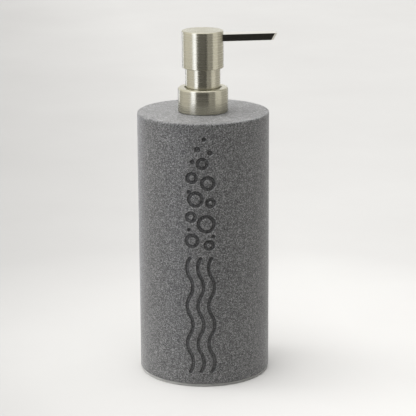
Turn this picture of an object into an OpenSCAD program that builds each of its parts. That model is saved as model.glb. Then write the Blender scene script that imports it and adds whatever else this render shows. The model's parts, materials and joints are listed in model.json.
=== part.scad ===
// Soap pump dispenser: a cast stone-resin bottle with a screw-on metal lotion pump.
// The origin is the centre of the foot pad's underside, +Z is up, and the spout points along +X.

/* [Bottle] */
// Outer diameter of the bottle
bottle_d = 74; // [72:1:78]
// Height of the bottle's top face above the table
bottle_h = 150.5; // [146:0.5:156]
// Thickness of the cast side wall
side_wall = 6; // [5:0.5:6.5]
// Thickness of the cast top
top_wall = 8; // [7:0.5:9]
// Thickness of the glued-in base plate
base_t = 6; // [5:0.5:7]
// Thickness of the soft foot pad
pad_t = 1.6; // [1.2:0.2:2]

/* [Engraving] */
// Depth of the engraved water and bubble pattern
engrave_depth = 0.8; // [0.4:0.1:1.2]
// Width of an engraved line
line_w = 1.9; // [1.6:0.1:2]
// Angle of the pattern's centre line about the bottle's axis
engrave_angle = -101; // [-110:1:-80]

/* [Collar] */
// Outer diameter of the collar
collar_d = 28; // [27.8:0.1:29]
// Height of the collar
collar_h = 13.8; // [13:0.1:14.5]
// Outer diameter of the fixed neck sleeve
sleeve_d = 19.3; // [19:0.1:19.4]
// Rise of the screw thread in one turn
thread_pitch = 3; // [2.8:0.1:3.2]

/* [Head] */
// Outer diameter of the press-down head
head_d = 23; // [22.8:0.1:24]
// Height of the press-down head
head_h = 20.8; // [20.5:0.1:22]
// Length of sleeve that shows between the collar and the head
neck_show = 10.9; // [10.8:0.1:12.5]
// Travel of the head
stroke = 10; // [8:0.5:10]
// Distance from the pump's axis to the spout's tip
spout_reach = 41.3; // [38:0.1:46]
// Width of the spout
spout_w = 8.3; // [8:0.1:8.8]
// Thickness of the spout
spout_t = 3.8; // [3.4:0.1:3.9]

/* [Pump] */
// Outer diameter of the dip tube
tube_d = 7.4; // [7:0.1:7.6]
// Bore of the pump cylinder
cylinder_bore = 12.4; // [12.2:0.1:12.6]
// Diameter of the check ball
ball_d = 5.6; // [5.4:0.1:5.8]
// Diameter of the spring wire
wire_d = 0.8; // [0.7:0.05:0.9]
// Number of turns in the return spring
spring_turns = 8; // [7:1:9]

/* [Hidden] */
$fn = 96;
eps = 0.05;

// Bottle
bottle_r = bottle_d / 2;
cavity_r = bottle_r - side_wall;
base_r = cavity_r + 2;
base_top = pad_t + base_t;
cavity_top = bottle_h - top_wall;
rim_round = 0.8;
foot_round = 0.6;
wave_l = 11;
wave_bulge = 1.6;
glue_gap = 0.05;
pad_r = bottle_r - 0.8;

// Threaded neck: insert_r fills the hole in the bottle's top, neck_r is the thread's root
insert_r = 12.95;
insert_flange_r = 17.5;
insert_flange_t = 2.5;
neck_r = 10.8;
neck_crest_r = 11.75;
mouth_r = 8.75;

// Clamped stack inside the collar, from the neck's rim upwards
gasket_t = 1.2;
flange_t = 1.4;
foot_t = 0.5;
web_t = 0.9;
skin_t = 0.5;
neck_top = bottle_h + collar_h - gasket_t - flange_t - foot_t - web_t - skin_t;
flange_bottom = neck_top + gasket_t;
flange_top = flange_bottom + flange_t;
web_bottom = flange_top + foot_t;
web_top = web_bottom + web_t;
collar_top = bottle_h + collar_h;
flange_r = 11.3;

// Collar
collar_r = collar_d / 2;
collar_wall = 0.55;
collar_round = 1.2;
collar_chamfer = 0.5;
lip_round = 0.2;
collar_gap = 0.15;
ring_wall = 0.95;
ring_r = collar_r - collar_wall - glue_gap;
ring_bore_r = ring_r - ring_wall;
ring_crest_r = neck_crest_r + 0.2;
sleeve_r = sleeve_d / 2;
sleeve_wall = 0.5;
sleeve_hole_r = sleeve_r + 0.8;

// Head: the core hangs clear of the chaplet when the head is right down
head_r = head_d / 2;
head_wall = 0.8;
head_round = 0.6;
head_bottom = collar_top + neck_show;
head_top = head_bottom + head_h;
sleeve_top = head_bottom + 1.3;
chaplet_top = sleeve_top - sleeve_wall;
core_r = head_r - head_wall - glue_gap;
core_bottom = sleeve_top + stroke + 0.4;
core_top = head_top - head_wall;
skirt_r = sleeve_r + 0.3;
spout_z = head_top - 4.05;
spout_root = 8.6;
spout_slant = 2.1;
spout_wall = 0.6;
liner_recess = 0.5;
liner_bore_r = 0.9;
channel_r = 1.2;

// Pump cylinder, from the ball seat upwards
bore_r = cylinder_bore / 2;
housing_r = bore_r + 1.6;
ball_r = ball_d / 2;
cage_r = ball_r + 0.6;
seat_hole_r = 1.9;
seat_z = bottle_h - 39;
seat_t = 2;
cylinder_floor = seat_z + 7;
socket_len = 13;
spigot_r = 5.6;
tube_r = tube_d / 2;
tube_bore_r = tube_r - 1;
tube_end = base_top + 4.4;
ball_z = seat_z + sqrt(ball_r * ball_r - seat_hole_r * seat_hole_r) + 0.02;

// Plunger: the stem's shoulder stops against the underside of the chaplet
plug_bottom = bottle_h + 2;
stem_r = 3;
stem_bore_r = 1.7;
stem_low_r = 2.6;
shoulder_r = 5;
shoulder_t = 2.4;
stem_bottom = plug_bottom - 13;
stem_top = spout_z - 1.5;
seat_flange_t = 2.5;
seat_flange_r = 5.2;
seat_bottom = stem_bottom - seat_flange_t;
guide_gap = 0.08;

// Spring
wire_r = wire_d / 2;
spring_r = 4.7;
spring_low = cylinder_floor + eps;
spring_high = seat_bottom - eps;

// A ring around the Z axis, from low to high
module tube(outer, inner, low, high) {
    rotate_extrude()
        translate([inner, low])
            square([outer - inner, high - low]);
}

// A disc on the Z axis, from low to high
module disc(radius, low, high) {
    translate([0, 0, low])
        cylinder(r = radius, h = high - low);
}

// Points of a rounded outer edge, from the side at `radius` to the top face at `top`
function round_edge(radius, top, round) = [
    for (a = [0 : 22.5 : 90])
        [radius - round * (1 - cos(a)), top - round * (1 - sin(a))]
];

// Points of a round tube's outline on an upright helix, one ring of `sides` points per step
function helix_ring(angle, radius, z, wire, sides) = [
    for (k = [0 : sides - 1])
        let (a = 360 * k / sides, r = radius + wire * cos(a))
        [r * cos(angle), r * sin(angle), z + wire * sin(a)]
];

// Faces of a swept tube that has `rings` rings of `sides` points
function sweep_faces(rings, sides) = concat(
    [[for (k = [sides - 1 : -1 : 0]) k]],
    [for (i = [0 : rings - 2], k = [0 : sides - 1])
        let (a = i * sides + k, b = i * sides + (k + 1) % sides)
        [a, b, b + sides, a + sides]],
    [[for (k = [0 : sides - 1]) (rings - 1) * sides + k]]
);

// Height along a compression spring whose first and last turns lie closed, from 0 to length
function spring_rise(turn, turns, length, closed) =
    turn < 1 ? closed * turn
    : turn > turns - 1 ? length - closed * (turns - turn)
    : closed + (length - 2 * closed) * (turn - 1) / (turns - 2);

// A screw thread's ridge: a trapezoid swept up a helix, fading into the wall at both ends
module thread_ridge(root, crest, low, turns, root_w, crest_w) {
    steps = 36;
    rings = turns * steps + 1;
    points = [
        for (i = [0 : rings - 1])
            let (
                angle = 360 * i / steps,
                fade = min(1, i / 6, (rings - 1 - i) / 6),
                tip = root + (crest - root) * (0.15 + 0.85 * fade),
                z = low + thread_pitch * i / steps
            )
            for (p = [[root, -root_w], [tip, -crest_w], [tip, crest_w], [root, root_w]])
                [p[0] * cos(angle), p[0] * sin(angle), z + p[1] / 2]
    ];
    faces = sweep_faces(rings, 4);
    outward = crest > root;
    polyhedron(points = points, faces = outward ? faces : [for (f = faces) [for (k = [len(f) - 1 : -1 : 0]) f[k]]]);
}

// Half of one wave of an engraved line, bulging to +X or to -X
module half_wave(side) {
    radius = (wave_l * wave_l / 4 + wave_bulge * wave_bulge) / (2 * wave_bulge);
    intersection() {
        translate([side * (wave_bulge - radius), wave_l / 2])
            difference() {
                circle(r = radius + line_w / 2);
                circle(r = radius - line_w / 2);
            }
        translate([-radius, 0])
            square([2 * radius, wave_l]);
    }
}

// Engraved line of equal waves that starts at (x, low)
module wave_line(x, low, count) {
    for (i = [0 : count - 1])
        translate([x, low + i * wave_l])
            half_wave(i % 2 == 0 ? 1 : -1);
    for (i = [0, count])
        drop(x, low + i * wave_l, line_w / 2);
}

// Engraved bubble with a ring of the line's width
module bubble(x, z, radius) {
    translate([x, z])
        difference() {
            circle(r = radius);
            circle(r = radius - line_w);
        }
}

// Engraved small round drop
module drop(x, z, radius) {
    translate([x, z])
        circle(r = radius);
}

// Flat drawing of the pattern: three waves with bubbles rising from them
module pattern() {
    wave_line(-6, 9, 6);
    wave_line(0, 9, 6);
    wave_line(6, 9, 6);
    bubble(-4.6, 85, 4.1);
    bubble(4.8, 82.5, 3.1);
    bubble(3.2, 94.5, 5.2);
    bubble(-5.2, 98.5, 3.3);
    bubble(-2.6, 108.5, 4.6);
    bubble(5.6, 106.5, 2.9);
    bubble(4.2, 117.5, 4.2);
    bubble(-4.6, 120.5, 3.4);
    bubble(1.2, 128.5, 3.5);
    drop(-6.2, 112.8, 1.1);
    drop(7, 87.5, 1.1);
    drop(-6.4, 91.3, 1);
    drop(-4.2, 129.5, 1.3);
    drop(5.4, 134.5, 1.5);
    drop(-1.4, 136.5, 1.6);
    drop(2.2, 142, 1.2);
}

// Cast shell, open at the bottom, with a hole in its top for the threaded insert
module bottle() {
    color("dimgray")
        difference() {
            rotate_extrude()
                polygon([
                    [base_r, pad_t], [bottle_r - foot_round, pad_t], [bottle_r, pad_t + foot_round],
                    each round_edge(bottle_r, bottle_h, rim_round),
                    [insert_r + glue_gap, bottle_h], [insert_r + glue_gap, cavity_top], [cavity_r, cavity_top],
                    [cavity_r, base_top], [base_r, base_top]
                ]);
            rotate([0, 0, engrave_angle + 90])
                intersection() {
                    tube(bottle_r + 1, bottle_r - engrave_depth, 0, bottle_h);
                    rotate([90, 0, 0])
                        linear_extrude(height = bottle_r + 1)
                            pattern();
                }
        }
}

// Disc that closes the bottom of the cavity
module base_plate() {
    color("gray")
        disc(base_r - glue_gap, pad_t, base_top);
}

// Soft disc that the bottle stands on
module foot_pad() {
    color("lightgray")
        rotate_extrude()
            polygon([
                [0, 0], [pad_r - 0.3, 0], [pad_r, 0.3], [pad_r, pad_t - 0.1], [pad_r - 0.1, pad_t], [0, pad_t]
            ]);
}

// Threaded mouth, flanged under the bottle's top
module neck_insert() {
    color("whitesmoke")
        union() {
            tube(insert_flange_r, mouth_r, cavity_top - insert_flange_t, cavity_top);
            tube(insert_r, mouth_r, cavity_top - eps, bottle_h - 0.2);
            tube(neck_r, mouth_r, bottle_h - 0.2 - eps, neck_top);
            thread_ridge(neck_r - 0.4, neck_crest_r, bottle_h + 2.6, 1.5, 2, 0.9);
        }
}

// Metal skin of the collar
module collar_shell() {
    bottom = bottle_h + collar_gap;
    color("darkkhaki")
        rotate_extrude()
            polygon([
                [collar_r - collar_wall, bottom], [collar_r - lip_round, bottom], [collar_r, bottom + lip_round],
                each round_edge(collar_r, collar_top, collar_round),
                [sleeve_hole_r, collar_top], [sleeve_hole_r, web_top],
                [collar_r - collar_wall - collar_chamfer, web_top],
                [collar_r - collar_wall, web_top - collar_chamfer]
            ]);
}

// Threaded plastic ring inside the collar
module collar_thread_ring() {
    color("white")
        union() {
            rotate_extrude()
                polygon([
                    [ring_bore_r, bottle_h + 0.6], [ring_r, bottle_h + 0.6], [ring_r, web_top - collar_chamfer],
                    [ring_r - collar_chamfer, web_top], [sleeve_hole_r, web_top],
                    [sleeve_hole_r, web_bottom], [ring_bore_r, web_bottom]
                ]);
            thread_ridge(ring_bore_r + 0.3, ring_crest_r, bottle_h + 3, 1.5, 1.7, 0.8);
        }
}

// Sealing washer between the neck's rim and the pump's flange
module pump_gasket() {
    color("ivory")
        tube(flange_r, housing_r + 0.25, neck_top, flange_bottom);
}

// Pump cylinder with its flange, vent, ball cage and dip tube socket
module pump_housing() {
    color("gainsboro")
        difference() {
            rotate_extrude()
                polygon([
                    [bore_r, cylinder_floor], [bore_r, flange_top], [flange_r, flange_top],
                    [flange_r, flange_bottom], [housing_r, flange_bottom],
                    [housing_r, cylinder_floor - 3], [spigot_r, cylinder_floor - 5.2],
                    [spigot_r, seat_z - seat_t - socket_len], [tube_r + 0.02, seat_z - seat_t - socket_len],
                    [tube_r + 0.02, seat_z - seat_t], [seat_hole_r, seat_z - seat_t],
                    [seat_hole_r, seat_z], [cage_r, seat_z], [cage_r, cylinder_floor - 0.7],
                    [ball_r - 0.4, cylinder_floor - 0.7], [ball_r - 0.4, cylinder_floor]
                ]);
            translate([-housing_r - 1, 0, plug_bottom - 1.2])
                rotate([0, 90, 0])
                    cylinder(r = 0.6, h = housing_r);
        }
}

// Gland that guides the stem and holds it down
module chaplet() {
    tower_r = sleeve_r - sleeve_wall - glue_gap;
    color("white")
        rotate_extrude()
            polygon([
                [bore_r - glue_gap, plug_bottom], [bore_r - glue_gap, flange_top], [tower_r, flange_top],
                [tower_r, chaplet_top], [stem_r + 0.1, chaplet_top], [stem_r + 0.1, chaplet_top - 2],
                [tower_r - 1.2, chaplet_top - 2], [tower_r - 1.2, flange_top + 1.4],
                [stem_r + 1.3, flange_top + 1.4], [stem_r + 1.3, plug_bottom]
            ]);
}

// Fixed metal sleeve that the head slides down over
module neck_sleeve() {
    color("darkkhaki")
        rotate_extrude()
            polygon([
                [sleeve_r - sleeve_wall, flange_top], [flange_r - 0.3, flange_top],
                [flange_r - 0.3, web_bottom], [sleeve_r, web_bottom], [sleeve_r, sleeve_top - 0.3],
                [sleeve_r - 0.3, sleeve_top], [sleeve_r - 2.6, sleeve_top],
                [sleeve_r - 2.6, chaplet_top], [sleeve_r - sleeve_wall, chaplet_top]
            ]);
}

// Suction tube with a slanted lower end
module dip_tube() {
    color("aliceblue")
        difference() {
            tube(tube_r, tube_bore_r, tube_end, seat_z - seat_t);
            translate([0, 0, tube_end])
                rotate([0, 35, 0])
                    translate([-tube_d, -tube_d, -2 * tube_d])
                        cube([2 * tube_d, 2 * tube_d, 2 * tube_d]);
        }
}

// Inlet valve ball on its seat
module check_ball() {
    color("silver")
        translate([0, 0, ball_z])
            sphere(r = ball_r);
}

// Compression spring with closed end turns
module return_spring() {
    steps = 20;
    sides = 8;
    rings = spring_turns * steps + 1;
    length = spring_high - spring_low - wire_d;
    points = [
        for (i = [0 : rings - 1])
            let (turn = i / steps, z = spring_low + wire_r + spring_rise(turn, spring_turns, length, wire_d * 1.1))
            each helix_ring(360 * turn, spring_r, z, wire_r, sides)
    ];
    color("lightsteelblue")
        polyhedron(points = points, faces = sweep_faces(rings, sides));
}

// Hollow rod that carries the head and draws the piston
module stem() {
    shoulder_top = plug_bottom - eps;
    color("white")
        difference() {
            rotate_extrude()
                polygon([
                    [stem_bore_r, stem_bottom], [stem_low_r, stem_bottom],
                    [stem_low_r, shoulder_top - shoulder_t], [shoulder_r, shoulder_top - shoulder_t],
                    [shoulder_r, shoulder_top], [stem_r, shoulder_top], [stem_r, stem_top],
                    [stem_bore_r, stem_top]
                ]);
            for (angle = [0, 90])
                rotate([0, 0, angle])
                    translate([-stem_r, 0, stem_bottom + 3])
                        rotate([0, 90, 0])
                            cylinder(r = 0.9, h = 2 * stem_r);
        }
}

// Foot of the stem, which the piston closes on and the spring pushes
module piston_seat() {
    color("gainsboro")
        union() {
            disc(seat_flange_r, seat_bottom, stem_bottom);
            disc(stem_bore_r - 0.02, stem_bottom - eps, stem_bottom + 1.8);
        }
}

// Sliding piston whose inner lip opens and closes on the seat
module piston() {
    low = stem_bottom + eps;
    skin = 0.9;
    color("ivory")
        rotate_extrude()
            polygon([
                [stem_low_r + 1, low], [stem_low_r + 1.6, low], [stem_low_r + 1.6, low + 3],
                [bore_r - skin, low + 3], [bore_r - skin, low], [bore_r - guide_gap, low],
                [bore_r - guide_gap, low + 8], [bore_r - skin, low + 8], [bore_r - skin, low + 4.5],
                [stem_low_r + 1.6, low + 4.5], [stem_low_r + 1.6, low + 7],
                [stem_low_r + guide_gap, low + 7], [stem_low_r + guide_gap, low + 4],
                [stem_low_r + 1, low + 4]
            ]);
}

// Plastic core of the head: a socket for the stem, a channel to the spout and a guiding skirt
module actuator_core() {
    color("white")
        difference() {
            union() {
                disc(core_r, core_bottom, core_top);
                tube(core_r, skirt_r, head_bottom + 1.2, core_bottom + eps);
            }
            disc(stem_r + 0.02, core_bottom - 1, stem_top);
            disc(stem_bore_r, stem_top - eps, spout_z + channel_r);
            translate([0, 0, spout_z])
                rotate([0, 90, 0])
                    cylinder(r = channel_r, h = head_r);
            translate([spout_root, -spout_w / 2 - glue_gap, spout_z - spout_t / 2 - glue_gap])
                cube([head_r, spout_w + 2 * glue_gap, spout_t + 2 * glue_gap]);
        }
}

// Metal cap of the head with a window for the spout
module head_shell() {
    color("darkkhaki")
        difference() {
            rotate_extrude()
                polygon([
                    [head_r - head_wall, head_bottom], [head_r - lip_round, head_bottom],
                    [head_r, head_bottom + lip_round], each round_edge(head_r, head_top, head_round),
                    [0, head_top], [0, core_top], [head_r - head_wall, core_top]
                ]);
            translate([spout_root, -spout_w / 2 - glue_gap, spout_z - spout_t / 2 - glue_gap])
                cube([head_r, spout_w + 2 * glue_gap, spout_t + 2 * glue_gap]);
        }
}

// Flat bar whose end slants back underneath and has both of its upright edges cut off
module spout_bar(width, thickness, end, cut_l, cut_w) {
    side = width / 2;
    points = [
        for (half = [-thickness / 2, thickness / 2])
            let (x = end - spout_slant * (0.5 - half / spout_t))
            for (p = [
                [spout_root, -side], [spout_root, side], [x - cut_l, side],
                [x, side - cut_w], [x, cut_w - side], [x - cut_l, -side]
            ])
                [p[0], p[1], spout_z + half]
    ];
    polyhedron(points = points, faces = sweep_faces(2, 6));
}

// Rectangular metal tube
module spout() {
    color("darkslategray")
        difference() {
            spout_bar(spout_w, spout_t, spout_reach, 1.3, 0.5);
            translate([spout_root - 1, -spout_w / 2 + spout_wall, spout_z - spout_t / 2 + spout_wall])
                cube([spout_reach, spout_w - 2 * spout_wall, spout_t - 2 * spout_wall]);
        }
}

// Plastic liner with the outlet bore
module spout_liner() {
    fit = 2 * spout_wall + 2 * glue_gap;
    color("dimgray")
        difference() {
            spout_bar(spout_w - fit, spout_t - fit, spout_reach - liner_recess, 0.6, 0.2);
            translate([spout_root - 1, 0, spout_z])
                rotate([0, 90, 0])
                    cylinder(r = liner_bore_r, h = spout_reach);
        }
}

bottle();
base_plate();
foot_pad();
neck_insert();
collar_shell();
collar_thread_ring();
pump_gasket();
pump_housing();
chaplet();
neck_sleeve();
dip_tube();
check_ball();
return_spring();
stem();
piston_seat();
piston();
actuator_core();
head_shell();
spout();
spout_liner();
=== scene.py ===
"""Soap pump dispenser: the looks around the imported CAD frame, in metres."""

import json
import math

import bmesh
import bpy
from mathutils import Matrix, Vector


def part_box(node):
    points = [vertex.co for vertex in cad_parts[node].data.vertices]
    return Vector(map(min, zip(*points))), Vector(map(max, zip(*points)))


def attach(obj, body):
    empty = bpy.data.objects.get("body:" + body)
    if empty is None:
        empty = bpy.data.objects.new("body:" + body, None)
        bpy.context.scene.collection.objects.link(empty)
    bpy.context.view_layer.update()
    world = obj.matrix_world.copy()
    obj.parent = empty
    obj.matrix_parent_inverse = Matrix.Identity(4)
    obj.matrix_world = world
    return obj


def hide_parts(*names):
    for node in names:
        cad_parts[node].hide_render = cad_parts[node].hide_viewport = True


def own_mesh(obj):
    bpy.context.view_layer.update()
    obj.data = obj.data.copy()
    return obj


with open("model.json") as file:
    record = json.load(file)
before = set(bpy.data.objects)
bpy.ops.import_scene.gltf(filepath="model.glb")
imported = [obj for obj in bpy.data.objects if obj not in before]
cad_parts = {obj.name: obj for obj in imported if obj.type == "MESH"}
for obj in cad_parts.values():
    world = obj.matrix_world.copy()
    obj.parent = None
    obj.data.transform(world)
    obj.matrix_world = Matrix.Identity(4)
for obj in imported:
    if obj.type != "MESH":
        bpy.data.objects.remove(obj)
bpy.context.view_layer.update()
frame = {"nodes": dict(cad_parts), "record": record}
scene = bpy.context.scene
MM = 0.001
TOP_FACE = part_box("bottle")[1].z


# ---------------------------------------------------------------- camera

CAMERA_AZIMUTH = math.radians(-8.08)
CAMERA_DISTANCE = 0.9302
CAMERA_HEIGHT = 0.3386
CAMERA_PITCH = math.radians(14.72)
CAMERA_YAW = math.radians(-0.15)
CAMERA_ROLL = math.radians(-0.33)
LENS = 146.4


def make_camera():
    """Camera in front of the bottle, a little to the left of the spout's square-on view."""
    data = bpy.data.cameras.new("camera")
    data.sensor_width = 36
    data.lens = LENS
    data.clip_start = 0.05
    data.clip_end = 30
    camera = bpy.data.objects.new("camera", data)
    scene.collection.objects.link(camera)
    camera.location = (
        CAMERA_DISTANCE * math.sin(CAMERA_AZIMUTH),
        -CAMERA_DISTANCE * math.cos(CAMERA_AZIMUTH),
        CAMERA_HEIGHT,
    )
    heading = Matrix.Rotation(CAMERA_AZIMUTH + CAMERA_YAW, 3, "Z")
    tilt = Matrix.Rotation(math.pi / 2 - CAMERA_PITCH, 3, "X")
    roll = Matrix.Rotation(CAMERA_ROLL, 3, "Z")
    camera.rotation_euler = (heading @ tilt @ roll).to_euler()
    scene.camera = camera


make_camera()


# ---------------------------------------------------------------- node helpers

class Nodes:
    """Short calls for building one material's node tree."""

    def __init__(self, name):
        self.material = bpy.data.materials.new(name)
        self.material.use_nodes = True
        self.tree = self.material.node_tree
        self.tree.nodes.clear()
        self.output = self.add("ShaderNodeOutputMaterial")

    def add(self, kind, **settings):
        node = self.tree.nodes.new(kind)
        for key, value in settings.items():
            setattr(node, key, value)
        return node

    def link(self, source, target):
        self.tree.links.new(source, target)

    def shader(self, **values):
        """A Principled shader with its constant values set on its own sockets."""
        node = self.add("ShaderNodeBsdfPrincipled")
        for key, value in values.items():
            node.inputs[key.replace("_", " ")].default_value = value
        self.link(node.outputs["BSDF"], self.output.inputs["Surface"])
        return node

    def place(self, scale):
        """Points of the object's own frame, scaled."""
        coordinates = self.add("ShaderNodeTexCoord")
        mapping = self.add("ShaderNodeMapping")
        mapping.inputs["Scale"].default_value = scale
        self.link(coordinates.outputs["Object"], mapping.inputs["Vector"])
        return mapping.outputs["Vector"]

    def noise(self, vector, scale, detail, roughness):
        node = self.add("ShaderNodeTexNoise")
        node.inputs["Scale"].default_value = scale
        node.inputs["Detail"].default_value = detail
        node.inputs["Roughness"].default_value = roughness
        self.link(vector, node.inputs["Vector"])
        return node.outputs["Fac"]

    def cells(self, vector, scale):
        node = self.add("ShaderNodeTexVoronoi")
        node.inputs["Scale"].default_value = scale
        self.link(vector, node.inputs["Vector"])
        return node

    def ramp(self, factor, stops):
        """Colour ramp through (place, colour) stops."""
        node = self.add("ShaderNodeValToRGB")
        ramp = node.color_ramp
        while len(ramp.elements) < len(stops):
            ramp.elements.new(0.5)
        for element, (place, colour) in zip(ramp.elements, stops):
            element.position = place
            element.color = (*colour, 1)
        self.link(factor, node.inputs["Fac"])
        return node.outputs["Color"]

    def span(self, factor, low, high, new_low, new_high):
        """Factor from low..high mapped to new_low..new_high."""
        node = self.add("ShaderNodeMapRange")
        node.inputs["From Min"].default_value = low
        node.inputs["From Max"].default_value = high
        node.inputs["To Min"].default_value = new_low
        node.inputs["To Max"].default_value = new_high
        self.link(factor, node.inputs["Value"])
        return node.outputs["Result"]

    def multiply(self, a, b):
        """Colour a darkened or lightened by b."""
        node = self.add("ShaderNodeMix", data_type="RGBA", blend_type="MULTIPLY")
        node.inputs[0].default_value = 1.0
        self.link(a, node.inputs[6])
        self.link(b, node.inputs[7])
        return node.outputs[2]

    def split(self, vector):
        """The three coordinates of a point."""
        node = self.add("ShaderNodeSeparateXYZ")
        self.link(vector, node.inputs["Vector"])
        return node.outputs

    def math(self, operation, a, b=0.0):
        node = self.add("ShaderNodeMath", operation=operation)
        for socket, value in ((node.inputs[0], a), (node.inputs[1], b)):
            if isinstance(value, (int, float)):
                socket.default_value = value
            else:
                self.link(value, socket)
        return node.outputs[0]

    def bump(self, shader, height, strength, distance):
        node = self.add("ShaderNodeBump")
        node.inputs["Strength"].default_value = strength
        node.inputs["Distance"].default_value = distance
        self.link(height, node.inputs["Height"])
        self.link(node.outputs["Normal"], shader.inputs["Normal"])


# ---------------------------------------------------------------- materials

SPOUT_SHADE_WIDTH = 4.2 * MM
SPOUT_SHADE_FADE = 0.6 * MM
FOOT_SHADE_HEIGHT = 8 * MM


def grey(value):
    return (value, value, value)


def stone_material():
    """Cast stone: sand grains of many greys, a lighter sanded top, painted shade on the engraving's walls
    and floor, and a painted light rim round it.
    """
    n = Nodes("stone")
    place = n.place((1, 1, 1))
    cells = n.cells(place, 2100)
    shade = n.add("ShaderNodeSeparateColor")
    n.link(cells.outputs["Color"], shade.inputs["Color"])
    fine = n.noise(place, 2400, 2, 0.6)
    broad = n.noise(place, 420, 2, 0.5)
    grain = n.math("MULTIPLY_ADD", shade.outputs["Red"], 0.70)
    grain.node.inputs[2].default_value = -0.35
    grain = n.math("ADD", grain, n.span(fine, 0.25, 0.75, -0.15, 1.15))
    grain = n.math("ADD", grain, n.span(broad, 0.25, 0.75, -0.06, 0.06))
    top = n.span(n.split(place)["Z"], TOP_FACE - 0.5 * MM, TOP_FACE - 0.2 * MM, 0.0, 1.0)
    sanded = n.span(n.noise(place, 800, 2, 0.7), 0.3, 0.7, -0.5, 0.5)
    grain = n.math("ADD", grain, n.math("MULTIPLY", top, sanded))
    base = n.ramp(grain, [
        (0.0, grey(0.026)), (0.25, grey(0.062)), (0.5, grey(0.108)),
        (0.75, grey(0.172)), (1.0, grey(0.32)),
    ])
    # painted shade: the engraving's walls and floor are painted dark, and a painted light rim brightens
    # the stone just outside them
    groove_shade_mask = n.add("ShaderNodeAttribute", attribute_name="engraved")
    painted_groove_shade = n.ramp(groove_shade_mask.outputs["Fac"], [
        (0.0, grey(0.80)), (0.18, grey(0.80)), (0.34, grey(1.0)), (0.46, grey(0.60)),
        (0.58, grey(0.22)), (0.70, grey(0.26)), (1.0, grey(0.42)),
    ])
    base = n.multiply(base, painted_groove_shade)
    shader = n.shader(IOR=1.5, Sheen_Weight=0.2, Sheen_Roughness=0.4)
    n.link(base, shader.inputs["Base Color"])
    n.link(n.span(grain, 0.0, 1.0, 0.48, 0.62), shader.inputs["Roughness"])
    n.bump(shader, grain, 0.5, 0.05 * MM)
    return n.material


def spout_shade(n, point):
    """Factor that darkens the head close beside the spout's root, and is 1 elsewhere."""
    low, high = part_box("spout")
    half = (high.z - low.z) / 2
    beside = n.math("ABSOLUTE", point["Y"])
    beside = n.span(beside, high.y, high.y + SPOUT_SHADE_WIDTH, 0.5, 1.0)
    offset = n.math("ABSOLUTE", n.math("SUBTRACT", point["Z"], low.z + half))
    level = n.span(offset, half, half + SPOUT_SHADE_FADE, 0.0, 1.0)
    behind = n.math("LESS_THAN", point["X"], 0.0)
    return n.math("MAXIMUM", n.math("MAXIMUM", beside, level), behind)


def brushed_material(name, colour, along_x=False):
    """Nickel with fine brush lines, round the axis or along the spout."""
    n = Nodes(name)
    if along_x:
        place = n.place((0.25, 9, 9))
    else:
        coordinates = n.add("ShaderNodeTexCoord")
        point = n.split(coordinates.outputs["Object"])
        across = n.math("ADD", n.math("POWER", point["X"], 2.0), n.math("POWER", point["Y"], 2.0))
        lines = n.math("ADD", n.math("SQRT", across), point["Z"])
        join = n.add("ShaderNodeCombineXYZ")
        n.link(n.math("MULTIPLY", point["X"], 0.02), join.inputs["X"])
        n.link(n.math("MULTIPLY", point["Y"], 0.02), join.inputs["Y"])
        n.link(n.math("MULTIPLY", lines, 9.0), join.inputs["Z"])
        place = join.outputs["Vector"]
    fine = n.noise(place, 900, 2, 0.6)
    broad = n.noise(place, 150, 4, 0.75)
    dark = tuple(0.85 * c for c in colour)
    light = tuple(min(1.0, 1.07 * c) for c in colour)
    base = n.ramp(fine, [(0.3, dark), (0.7, light)])
    if along_x:
        shader = n.shader(Metallic=1.0)
        n.link(n.span(fine, 0.3, 0.7, 0.03, 0.07), shader.inputs["Roughness"])
    else:
        rings = n.ramp(broad, [(0.32, grey(0.90)), (0.5, grey(1.0)), (0.68, grey(1.08))])
        shadow = n.span(point["Z"], TOP_FACE, TOP_FACE + FOOT_SHADE_HEIGHT, 0.72, 1.0)
        for factor in (rings, shadow, spout_shade(n, point)):
            base = n.multiply(base, factor)
        shader = n.shader(Metallic=1.0, Anisotropic=0.75, Anisotropic_Rotation=0.25,
                          Specular_Tint=(0.82, 0.82, 0.80, 1))
        n.link(n.span(broad, 0.35, 0.65, 0.17, 0.31), shader.inputs["Roughness"])
        tangent = n.add("ShaderNodeTangent", direction_type="RADIAL", axis="Z")
        n.link(tangent.outputs["Tangent"], shader.inputs["Tangent"])
        n.bump(shader, broad, 0.06, 0.02 * MM)
    n.link(base, shader.inputs["Base Color"])
    return n.material


def plastic_material(name, colour, roughness, translucent=0.0, subsurface=0.0):
    """Moulded plastic with a faint flow pattern and a fine matte texture."""
    n = Nodes(name)
    place = n.place((1, 1, 1))
    flow = n.noise(place, 120, 3, 0.5)
    skin = n.noise(place, 2600, 2, 0.5)
    dark = tuple(0.93 * c for c in colour)
    shader = n.shader(IOR=1.49, Transmission_Weight=translucent, Subsurface_Weight=subsurface)
    shader.inputs["Subsurface Radius"].default_value = (0.9 * MM, 0.8 * MM, 0.7 * MM)
    n.link(n.ramp(flow, [(0.35, dark), (0.65, colour)]), shader.inputs["Base Color"])
    n.link(n.span(skin, 0.3, 0.7, roughness - 0.05, roughness + 0.05), shader.inputs["Roughness"])
    n.bump(shader, skin, 0.15, 0.01 * MM)
    return n.material


def wire_material():
    """Drawn stainless wire and ground steel."""
    n = Nodes("spring_steel")
    place = n.place((1, 1, 1))
    marks = n.noise(place, 2200, 3, 0.6)
    shader = n.shader(Metallic=1.0)
    base = n.ramp(marks, [(0.3, (0.47, 0.48, 0.50)), (0.7, (0.64, 0.65, 0.67))])
    n.link(base, shader.inputs["Base Color"])
    n.link(n.span(marks, 0.3, 0.7, 0.18, 0.32), shader.inputs["Roughness"])
    return n.material


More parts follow.
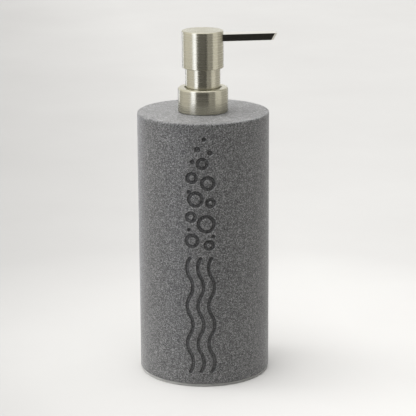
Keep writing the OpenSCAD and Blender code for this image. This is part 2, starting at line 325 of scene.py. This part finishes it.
def floor_material():
    """Plain pale worktop with painted light: painted brighter near the bottle and towards its right, and
    darker away from it and to its left.
    """
    n = Nodes("floor")
    place = n.place((1, 1, 1))
    cloud = n.ramp(n.noise(place, 6, 4, 0.55), [
        (0.3, (0.345, 0.341, 0.334)), (0.7, (0.36, 0.356, 0.349)),
    ])
    length = n.add("ShaderNodeVectorMath", operation="LENGTH")
    n.link(place, length.inputs[0])
    # painted light: a pool of light painted round the bottle, fading away from it
    painted_light_pool = n.ramp(length.outputs["Value"], [
        (0.04, grey(0.99)), (0.12, grey(0.90)), (0.25, grey(0.76)), (0.6, grey(0.71)),
    ])
    # painted light: the worktop is painted lighter towards the right, which lifts the shadow cast there
    painted_side_light = n.span(n.split(place)["X"], -0.12, 0.10, 1.08, 1.34)
    base = n.multiply(n.multiply(cloud, painted_light_pool), painted_side_light)
    shader = n.shader(Roughness=1.0, Specular_IOR_Level=0.0)
    n.link(base, shader.inputs["Base Color"])
    return n.material


NICKEL = (0.598, 0.576, 0.468)
STONE = stone_material()
BRUSHED = brushed_material("brushed_metal", NICKEL)
SPOUT_METAL = brushed_material("spout_metal", (0.62, 0.60, 0.54), along_x=True)
PAD = plastic_material("pad", (0.62, 0.62, 0.60), 0.5, translucent=0.35)
WHITE = plastic_material("white_plastic", (0.80, 0.80, 0.78), 0.42, subsurface=0.2)
CLEAR = plastic_material("clear_plastic", (0.86, 0.89, 0.90), 0.22, translucent=0.6)
SEAL = plastic_material("seal", (0.74, 0.73, 0.69), 0.6)
STEEL = wire_material()
LINER = plastic_material("liner_plastic", (0.30, 0.30, 0.29), 0.4)

SLOT_MATERIALS = {
    "stone": STONE,
    "pad": PAD,
    "white_plastic": WHITE,
    "brushed_metal": BRUSHED,
    "spout_metal": SPOUT_METAL,
    "clear_plastic": CLEAR,
    "seal": SEAL,
    "spring_steel": STEEL,
    "liner_plastic": LINER,
}

SLOT_OF = {s["node"]: s["material_slot"] for s in frame["record"]["subparts"]}
BODY_OF = {n: b for b, ns in frame["record"]["behaviour"]["bodies"].items() for n in ns}


def dress_cad_nodes():
    """Every CAD node that stays gets its slot's procedural material."""
    for name, obj in frame["nodes"].items():
        obj.data.materials.clear()
        obj.data.materials.append(SLOT_MATERIALS[SLOT_OF[name]])


dress_cad_nodes()


# ---------------------------------------------------------------- mesh helpers

def finish_piece(name, mesh_data, node, sharp=math.radians(40)):
    """Makes the object that stands for a CAD node, in its slot's material and on its body."""
    mesh_data.materials.append(SLOT_MATERIALS[SLOT_OF[node]])
    obj = bpy.data.objects.new(name, mesh_data)
    scene.collection.objects.link(obj)
    mesh_data.shade_smooth()
    mesh_data.set_sharp_from_angle(angle=sharp)
    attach(obj, BODY_OF[node])
    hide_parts(node)
    return obj


def plain_mesh(name, bm):
    """Mesh data from a built bmesh, which it uses up."""
    data = bpy.data.meshes.new(name)
    bm.to_mesh(data)
    bm.free()
    return data


def closed_mesh(name, bm):
    """Mesh data of a closed solid, with its faces turned outward."""
    bmesh.ops.recalc_face_normals(bm, faces=bm.faces)
    return plain_mesh(name, bm)


def rounded(points, steps):
    """Outline through (r, z, fillet radius) corners, with each fillet as an arc. Closed."""
    outline = []
    count = len(points)
    for i, (r, z, radius) in enumerate(points):
        here = Vector((r, z))
        if radius <= 0:
            outline.append(here)
            continue
        before = (Vector(points[i - 1][:2]) - here).normalized()
        after = (Vector(points[(i + 1) % count][:2]) - here).normalized()
        half = before.angle(after) / 2
        centre = here + (before + after).normalized() * (radius / math.sin(half))
        start = here + before * (radius / math.tan(half))
        sweep = math.pi - 2 * half
        turn = 1 if before.x * after.y - before.y * after.x < 0 else -1
        for k in range(steps + 1):
            angle = turn * sweep * k / steps
            outline.append(centre + Matrix.Rotation(angle, 2) @ (start - centre))
    return outline


def supported(outline, margin=0.1 * MM, least=1 * MM):
    """Outline with a point near both ends of its long straight runs, which keeps them flat when shaded."""
    result = []
    for a, b in zip(outline, outline[1:] + outline[:1]):
        result.append(a)
        if (b - a).length > least:
            step = (b - a).normalized() * margin
            result += [a + step, b - step]
    return result


def lathe(name, corners, segments=160, steps=6):
    """Solid of revolution of a closed outline of (r, z, fillet) corners. Corners at r 0 meet the axis."""
    outline = supported(rounded(corners, steps))
    bm = bmesh.new()
    rings = []
    for p in outline:
        if p.x < 1e-7:
            rings.append([bm.verts.new((0, 0, p.y))])
        else:
            turns = [2 * math.pi * k / segments for k in range(segments)]
            rings.append([bm.verts.new((p.x * math.cos(a), p.x * math.sin(a), p.y)) for a in turns])
    for low, high in zip(rings, rings[1:] + rings[:1]):
        if len(low) == 1 and len(high) == 1:
            continue
        for k in range(segments):
            m = (k + 1) % segments
            if len(low) == 1:
                bm.faces.new((low[0], high[m], high[k]))
            elif len(high) == 1:
                bm.faces.new((low[k], low[m], high[0]))
            else:
                bm.faces.new((low[k], low[m], high[m], high[k]))
    return closed_mesh(name, bm)


def box_mesh(name, low, high):
    """A plain box for cutting with."""
    bm = bmesh.new()
    bmesh.ops.create_cube(bm, size=1)
    size = Vector(high) - Vector(low)
    middle = (Vector(high) + Vector(low)) / 2
    for v in bm.verts:
        v.co = Vector((v.co.x * size.x, v.co.y * size.y, v.co.z * size.z)) + middle
    return plain_mesh(name, bm)


def cut_out(data, low, high, bevel=0.0):
    """Mesh with the box from low to high cut out of it, and its edges beveled if asked."""
    cutter = bpy.data.objects.new("cutter", box_mesh("cutter", low, high))
    work = bpy.data.objects.new("work", data)
    for o in (cutter, work):
        scene.collection.objects.link(o)
    hollow = work.modifiers.new("hollow", "BOOLEAN")
    hollow.operation, hollow.solver, hollow.object = "DIFFERENCE", "EXACT", cutter
    if bevel > 0:
        soften = work.modifiers.new("soften", "BEVEL")
        soften.width, soften.segments = bevel, 1
        soften.limit_method, soften.angle_limit = "ANGLE", math.radians(50)
    bpy.context.view_layer.update()
    graph = bpy.context.evaluated_depsgraph_get()
    result = bpy.data.meshes.new_from_object(work.evaluated_get(graph))
    for o in (cutter, work):
        bpy.data.objects.remove(o)
    return result


# ---------------------------------------------------------------- bottle

def radius_of(node):
    """Outer radius of a round CAD node."""
    low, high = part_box(node)
    return max(-low.x, high.x, -low.y, high.y)


BOTTLE_R = radius_of("bottle")
BOTTLE_ROUND = 0.8 * MM
FOOT_ROUND = 0.6 * MM
MOUTH_ROUND = 0.3 * MM
CAVITY_ROUND = 3 * MM
SIDE_WALL = 6 * MM
TOP_WALL = 8 * MM
MOUTH_R = 13 * MM
CAVITY_R = BOTTLE_R - SIDE_WALL
RABBET_R = radius_of("base_plate") + 0.05 * MM
LINE_W = 1.9
ENGRAVE_DEPTH = 0.8 * MM
ENGRAVE_ANGLE = math.radians(-101)
WAVES = ((-6, 9, 6), (0, 9, 6), (6, 9, 6))
WAVE_L, WAVE_BULGE, WAVE_REACH = 11, 1.6, 5
FAR = 9.0
# Across from the pattern's middle line, up from the foot, and outer radius, in millimetres.
BUBBLES = (
    (-4.6, 85, 4.1), (4.8, 82.5, 3.1), (3.2, 94.5, 5.2), (-5.2, 98.5, 3.3), (-2.6, 108.5, 4.6),
    (5.6, 106.5, 2.9), (4.2, 117.5, 4.2), (-4.6, 120.5, 3.4), (1.2, 128.5, 3.5),
)
DROPS = (
    (-6.2, 112.8, 1.1), (7, 87.5, 1.1), (-6.4, 91.3, 1), (-4.2, 129.5, 1.3),
    (5.4, 134.5, 1.5), (-1.4, 136.5, 1.6), (2.2, 142, 1.2),
)


def distance_to_line(x, z):
    """Signed distance, in millimetres, from a point of the flat pattern to its engraved lines."""
    best = FAR
    radius = (WAVE_L ** 2 / 4 + WAVE_BULGE ** 2) / (2 * WAVE_BULGE)
    for x0, low, count in WAVES:
        top = low + count * WAVE_L
        if abs(x - x0) < WAVE_REACH and low - LINE_W < z < top + LINE_W:
            if z < low or z > top:
                end = low if z < low else top
                best = min(best, math.hypot(x - x0, z - end) - LINE_W / 2)
                continue
            i = min(int((z - low) / WAVE_L), count - 1)
            side = 1 if i % 2 == 0 else -1
            cx = x0 + side * (WAVE_BULGE - radius)
            cz = low + (i + 0.5) * WAVE_L
            best = min(best, abs(math.hypot(x - cx, z - cz) - radius) - LINE_W / 2)
    for cx, cz, outer in BUBBLES:
        middle = outer - LINE_W / 2
        best = min(best, abs(math.hypot(x - cx, z - cz) - middle) - LINE_W / 2)
    for cx, cz, outer in DROPS:
        best = min(best, math.hypot(x - cx, z - cz) - outer)
    return best


def groove_depth(distance, edge=0.42):
    """0 on the plain surface, 1 on the groove's floor, with a smooth wall between them."""
    t = min(1.0, max(0.0, 0.5 - distance / edge))
    return t * t * (3 - 2 * t)


def groove_shade(distance, reach=0.9):
    """0 away from the groove, a half at its wall, towards 1 in its middle."""
    return min(1.0, max(0.0, 0.5 - 0.5 * distance / reach))


def bottle_mesh():
    """The cast shell: a fine grid where the pattern lies, zipped to a coarse lathe elsewhere."""
    step, fine_half, fine_low, fine_high = 0.25 * MM, 9.5 * MM, 7 * MM, 144.5 * MM
    foot, floor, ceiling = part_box("bottle")[0].z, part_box("base_plate")[1].z, TOP_FACE - TOP_WALL
    corners = [
        (RABBET_R, foot, 0), (BOTTLE_R, foot, FOOT_ROUND),
        (BOTTLE_R, TOP_FACE, BOTTLE_ROUND), (MOUTH_R, TOP_FACE, MOUTH_ROUND), (MOUTH_R, ceiling, 0),
        (CAVITY_R, ceiling, CAVITY_ROUND), (CAVITY_R, floor, 0), (RABBET_R, floor, 0),
    ]
    outline = supported(rounded(corners, 5))
    on_wall = [abs(p.x - BOTTLE_R) < 0.001 * MM and p.y < fine_low for p in outline]
    band = max(i for i, below in enumerate(on_wall) if below) + 1
    outline[band:band] = [Vector((BOTTLE_R, fine_low)), Vector((BOTTLE_R, fine_high))]
    half_angle = math.asin(fine_half / BOTTLE_R)
    fine_count = 2 * round(half_angle * BOTTLE_R / step)
    fine = [-half_angle + 2 * half_angle * k / fine_count for k in range(fine_count + 1)]
    coarse_count = 120
    gap = 2 * math.pi - 2 * half_angle
    coarse = [half_angle + gap * k / coarse_count for k in range(1, coarse_count)]
    angles = fine + coarse
    rows = round((fine_high - fine_low) / step)
    bm = bmesh.new()
    layer = bm.verts.layers.float.new("engraved")

    def point(radius, turn, z):
        a = ENGRAVE_ANGLE + turn
        return bm.verts.new((radius * math.cos(a), radius * math.sin(a), z))

    columns = [[point(p.x, a, p.y) for p in outline] for a in angles]
    grid = []
    for k, a in enumerate(fine):
        column = [columns[k][band]]
        for i in range(1, rows):
            z = fine_low + (fine_high - fine_low) * i / rows
            distance = distance_to_line(BOTTLE_R * math.sin(a) / MM, z / MM)
            vert = point(BOTTLE_R - ENGRAVE_DEPTH * groove_depth(distance), a, z)
            vert[layer] = groove_shade(distance)
            column.append(vert)
        column.append(columns[k][band + 1])
        grid.append(column)
    total = len(angles)
    for k in range(total):
        here, there = columns[k], columns[(k + 1) % total]
        for i in range(len(outline)):
            j = (i + 1) % len(outline)
            if i == band and k < fine_count:
                for low in range(rows):
                    a, b = grid[k], grid[k + 1]
                    bm.faces.new((a[low], b[low], b[low + 1], a[low + 1]))
            elif i == band and k == fine_count:
                bm.faces.new([*reversed(grid[-1]), there[i], there[j]])
            elif i == band and k == total - 1:
                bm.faces.new([here[j], here[i], *grid[0]])
            else:
                bm.faces.new((here[i], there[i], there[j], here[j]))
    return closed_mesh("stone_bottle", bm)


finish_piece("stone_bottle", bottle_mesh(), "bottle")


def pad_mesh():
    """Soft disc with a rounded foot."""
    (low, high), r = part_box("foot_pad"), radius_of("foot_pad")
    return lathe("soft_foot_pad", [
        (0, low.z, 0), (r, low.z, 0.5 * MM), (r, high.z, 0.25 * MM), (0, high.z, 0),
    ])


finish_piece("soft_foot_pad", pad_mesh(), "foot_pad")


# ---------------------------------------------------------------- metal skins

SLEEVE_R = 9.65 * MM
SLEEVE_LIP = 2.6 * MM
spout_low, spout_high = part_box("spout")
SPOUT_CLEARANCE = 0.08 * MM
PAST_WALL = 20 * MM
PAST_TIP = 200 * MM


def collar_mesh():
    """Collar skin with a rolled top edge and a turned-in lip."""
    low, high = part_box("collar_shell")
    r, wall, hole, web = radius_of("collar_shell"), 0.55 * MM, SLEEVE_R + 0.8 * MM, 0.5 * MM
    return lathe("metal_collar", [
        (r - wall, low.z, 0.12 * MM), (r, low.z, 0.2 * MM), (r, high.z, 1.2 * MM),
        (hole, high.z, 0.15 * MM), (hole, high.z - web, 0), (r - wall, high.z - web, 0.4 * MM),
    ], steps=8)


def sleeve_mesh():
    """Neck tube with a foot under the collar's web and a lip at the top."""
    low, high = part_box("neck_sleeve")
    foot, r, wall = radius_of("neck_sleeve"), SLEEVE_R, 0.5 * MM
    return lathe("metal_neck_sleeve", [
        (r - wall, low.z, 0), (foot, low.z, 0.1 * MM), (foot, low.z + wall, 0.1 * MM),
        (r, low.z + wall, 0), (r, high.z, 0.35 * MM), (r - SLEEVE_LIP, high.z, 0.1 * MM),
        (r - SLEEVE_LIP, high.z - wall, 0), (r - wall, high.z - wall, 0),
    ])


def head_mesh():
    """Cap of the head: a deep cup with a small bright radius round its top."""
    low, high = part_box("head_shell")
    r, wall = radius_of("head_shell"), 0.8 * MM
    return lathe("metal_head", [
        (r - wall, low.z, 0.1 * MM), (r, low.z, 0.3 * MM), (r, high.z, 0.55 * MM),
        (0, high.z, 0), (0, high.z - wall, 0), (r - wall, high.z - wall, 0),
    ])


def cut_window(data):
    """Cuts the spout's window through the head's wall."""
    c = SPOUT_CLEARANCE
    return cut_out(
        data,
        (spout_low.x, spout_low.y - c, spout_low.z - c),
        (PAST_WALL, spout_high.y + c, spout_high.z + c),
    )


def spout_mesh():
    """Square tube whose end slants back underneath and has both of its upright edges cut off."""
    wall, slant, cut_l, cut_w = 0.6 * MM, 2.1 * MM, 1.3 * MM, 0.5 * MM
    side = spout_high.y
    bm = bmesh.new()
    rings = []
    for z, tip in ((spout_low.z, spout_high.x - slant), (spout_high.z, spout_high.x)):
        rings.append([bm.verts.new((x, y, z)) for x, y in (
            (spout_low.x, -side), (tip - cut_l, -side), (tip, cut_w - side),
            (tip, side - cut_w), (tip - cut_l, side), (spout_low.x, side),
        )])
    low, high = rings
    bm.faces.new(list(reversed(low)))
    bm.faces.new(high)
    for k in range(6):
        m = (k + 1) % 6
        bm.faces.new((low[k], low[m], high[m], high[k]))
    result = cut_out(
        closed_mesh("metal_spout", bm),
        (spout_low.x - 10 * MM, wall - side, spout_low.z + wall),
        (PAST_TIP, side - wall, spout_high.z - wall),
        bevel=0.03 * MM,
    )
    result.name = "metal_spout"
    return result


finish_piece("metal_collar", collar_mesh(), "collar_shell")
finish_piece("metal_neck_sleeve", sleeve_mesh(), "neck_sleeve")
finish_piece("metal_head", cut_window(head_mesh()), "head_shell")
finish_piece("metal_spout", spout_mesh(), "spout", sharp=math.radians(12))


# ---------------------------------------------------------------- return spring

def spring_mesh():
    """Smooth round wire on a helix whose end turns lie closed."""
    low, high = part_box("return_spring")
    wire_r, coil_r, turns, per_turn, sides = 0.4 * MM, 4.7 * MM, 8, 40, 14
    closed = 2.2 * wire_r
    length = high.z - low.z - 2 * wire_r
    rings = turns * per_turn + 1
    bm = bmesh.new()
    tube = []
    for i in range(rings):
        turn = i / per_turn
        if turn < 1:
            rise = closed * turn
        elif turn > turns - 1:
            rise = length - closed * (turns - turn)
        else:
            rise = closed + (length - 2 * closed) * (turn - 1) / (turns - 2)
        angle = 2 * math.pi * turn
        ring = []
        for k in range(sides):
            a = 2 * math.pi * k / sides
            r = coil_r + wire_r * math.cos(a)
            z = low.z + wire_r + rise + wire_r * math.sin(a)
            ring.append(bm.verts.new((r * math.cos(angle), r * math.sin(angle), z)))
        tube.append(ring)
    for a, b in zip(tube, tube[1:]):
        for k in range(sides):
            m = (k + 1) % sides
            bm.faces.new((a[k], a[m], b[m], b[k]))
    bm.faces.new(list(reversed(tube[0])))
    bm.faces.new(tube[-1])
    return closed_mesh("coil_spring", bm)


coil = finish_piece("coil_spring", spring_mesh(), "return_spring")
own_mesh(coil)


# ---------------------------------------------------------------- stage and light

CARD_LIFT = 0.5 * MM
CARD_STEPS = 12


def make_floor():
    """Wide floor under the bottle."""
    bm = bmesh.new()
    bmesh.ops.create_grid(bm, x_segments=4, y_segments=4, size=6)
    data = plain_mesh("floor", bm)
    data.materials.append(floor_material())
    floor = bpy.data.objects.new("floor", data)
    scene.collection.objects.link(floor)


def glow_material(name, tone, strength):
    """Plain glow of a card."""
    n = Nodes(name)
    light = n.add("ShaderNodeEmission")
    light.inputs["Color"].default_value = (*tone, 1)
    light.inputs["Strength"].default_value = strength
    n.link(light.outputs["Emission"], n.output.inputs["Surface"])
    return n.material


def show_in_reflections(name, bm, tone, strength):
    """Turns a built card into a glowing object that only mirror-like surfaces see."""
    data = plain_mesh(name, bm)
    data.materials.append(glow_material(name, tone, strength))
    card = bpy.data.objects.new(name, data)
    scene.collection.objects.link(card)
    card.visible_camera = False
    card.visible_diffuse = False
    card.visible_transmission = False
    card.visible_volume_scatter = False
    card.visible_shadow = False


def reflection_card(name, from_deg, to_deg, near, far, height, tone, strength):
    """Studio card: a wedge on the floor and a wall behind it.
    Angles run clockwise seen from above, from the direction of the camera, in degrees."""
    bm = bmesh.new()
    rows = []
    for k in range(CARD_STEPS + 1):
        turn = math.radians(from_deg + (to_deg - from_deg) * k / CARD_STEPS)
        a = -math.pi / 2 + CAMERA_AZIMUTH + turn
        c, s = math.cos(a), math.sin(a)
        rows.append([
            bm.verts.new((near * c, near * s, CARD_LIFT)),
            bm.verts.new((far * c, far * s, CARD_LIFT)),
            bm.verts.new((far * c, far * s, height)),
        ])
    for a, b in zip(rows, rows[1:]):
        bm.faces.new((a[0], b[0], b[1], a[1]))
        if height > CARD_LIFT:
            bm.faces.new((a[1], b[1], b[2], a[2]))
    show_in_reflections(name, bm, tone, strength)


def ceiling_card(radius, height, tone, strength):
    """Round card above the bottle, which whitens the rounded top edges."""
    bm = bmesh.new()
    bmesh.ops.create_circle(bm, cap_ends=True, segments=48, radius=radius,
                            matrix=Matrix.Translation((0, 0, height)))
    show_in_reflections("ceiling_card", bm, tone, strength)


def sun(name, azimuth_deg, elevation_deg, spread_deg, strength):
    """Broad, even light from one side of the sky. Azimuth runs as the cards' angles do."""
    data = bpy.data.lights.new(name, "SUN")
    data.angle = math.radians(spread_deg)
    data.energy = strength
    light = bpy.data.objects.new(name, data)
    scene.collection.objects.link(light)
    a = -math.pi / 2 + CAMERA_AZIMUTH + math.radians(azimuth_deg)
    e = math.radians(elevation_deg)
    toward = Vector((math.cos(a) * math.cos(e), math.sin(a) * math.cos(e), math.sin(e)))
    light.rotation_euler = toward.to_track_quat("Z", "Y").to_euler()
    light.visible_glossy = False


def make_world():
    """Pale room, brighter towards the back, and a little brighter overhead and on the left."""
    world = bpy.data.worlds.new("room")
    scene.world = world
    world.use_nodes = True
    tree = world.node_tree
    tree.nodes.clear()
    coordinates = tree.nodes.new("ShaderNodeTexCoord")
    level = tree.nodes.new("ShaderNodeVectorMath")
    level.operation = "DOT_PRODUCT"
    level.inputs[1].default_value = (ROOM_RIGHT, ROOM_BACK, ROOM_UP)
    total = tree.nodes.new("ShaderNodeMath")
    total.operation = "ADD"
    total.inputs[1].default_value = ROOM_LEVEL
    background = tree.nodes.new("ShaderNodeBackground")
    background.inputs["Color"].default_value = (1.0, 0.99, 0.97, 1)
    output = tree.nodes.new("ShaderNodeOutputWorld")
    tree.links.new(coordinates.outputs["Generated"], level.inputs[0])
    tree.links.new(level.outputs["Value"], total.inputs[0])
    tree.links.new(total.outputs["Value"], background.inputs["Strength"])
    tree.links.new(background.outputs["Background"], output.inputs["Surface"])


ROOM_LEVEL, ROOM_RIGHT, ROOM_BACK, ROOM_UP = 0.66, -0.10, 0.42, 0.12
make_floor()
make_world()
sun("overhead", -60, 78, 75, 5.0)
sun("left_soft", -100, 18, 30, 1.45)
WARM, COOL, BLUISH = (1.0, 0.97, 0.92), (1.0, 0.99, 0.98), (0.95, 0.98, 1.12)
# Name, from and to in degrees, near and far and wall height in metres, tone, strength.
# "near" cards show in the collar, "middle" ones in the neck, and "low", "far" and "high" in the head.
CARDS = (
    ("left_near", -130, -54, 0.10, 0.86, 0.0, WARM, 0.37),
    ("left_edge", -130, -110, 0.86, 3.0, 3.0, WARM, 0.84),
    ("left_far", -110, -60, 0.86, 3.0, 3.0, WARM, 1.06),
    ("strip_near", -54, -33, 0.10, 0.86, 0.0, BLUISH, 2.0),
    ("strip_middle", -54, -41, 0.86, 0.97, 0.0, BLUISH, 0.8),
    ("strip_low", -54, -45, 0.97, 1.12, 0.0, BLUISH, 1.05),
    ("strip_high", -60, -37, 1.12, 3.0, 4.0, BLUISH, 2.0),
    ("strip_side", -37, -28, 0.99, 3.0, 5.0, WARM, 0.52),
    ("strip_edge", -28, -20, 0.99, 3.0, 5.0, WARM, 0.32),
    ("front_near", -33, 30, 0.10, 0.86, 0.0, WARM, 0.0),
    ("front_middle", -37, 27, 0.86, 0.99, 0.0, WARM, 0.0),
    ("front_low", -20, 15, 0.99, 1.12, 0.0, WARM, 0.12),
    ("front_far", -20, 15, 1.12, 3.0, 3.5, WARM, 0.28),
    ("spout_low", 15, 23, 0.99, 1.06, 0.0, WARM, 0.23),
    ("spout_dark", 15, 23, 1.06, 1.55, 0.0, WARM, 0.03),
    ("spout_high", 15, 23, 1.55, 3.0, 5.0, WARM, 0.23),
    ("line_near", 30, 38, 0.10, 0.86, 0.0, WARM, 0.42),
    ("line_middle", 27, 35, 0.86, 0.99, 0.0, WARM, 0.46),
    ("line_far", 23, 31, 0.99, 3.0, 3.0, WARM, 0.52),
    ("right_near", 38, 58, 0.10, 0.86, 0.0, WARM, 0.30),
    ("right_middle", 35, 58, 0.86, 0.99, 0.0, WARM, 0.38),
    ("right_far", 31, 58, 0.99, 3.0, 3.0, WARM, 0.41),
    ("right_side", 58, 92, 0.86, 3.0, 3.0, WARM, 0.88),
    ("back_near", 92, 142, 0.10, 0.86, 0.0, WARM, 0.48),
    ("back_side", 92, 142, 0.86, 3.0, 3.0, WARM, 0.62),
    ("back_dark", 158, 206, 0.10, 3.0, 0.0, WARM, 0.14),
    ("back_strip", 206, 222, 0.10, 3.0, 0.0, BLUISH, 1.7),
)
for label, *values in CARDS:
    reflection_card(label + "_card", *values)
ceiling_card(1.2, 1.6, COOL, 1.5)
scene.view_settings.view_transform = "Standard"
scene.view_settings.look = "None"


bpy.context.view_layer.update()
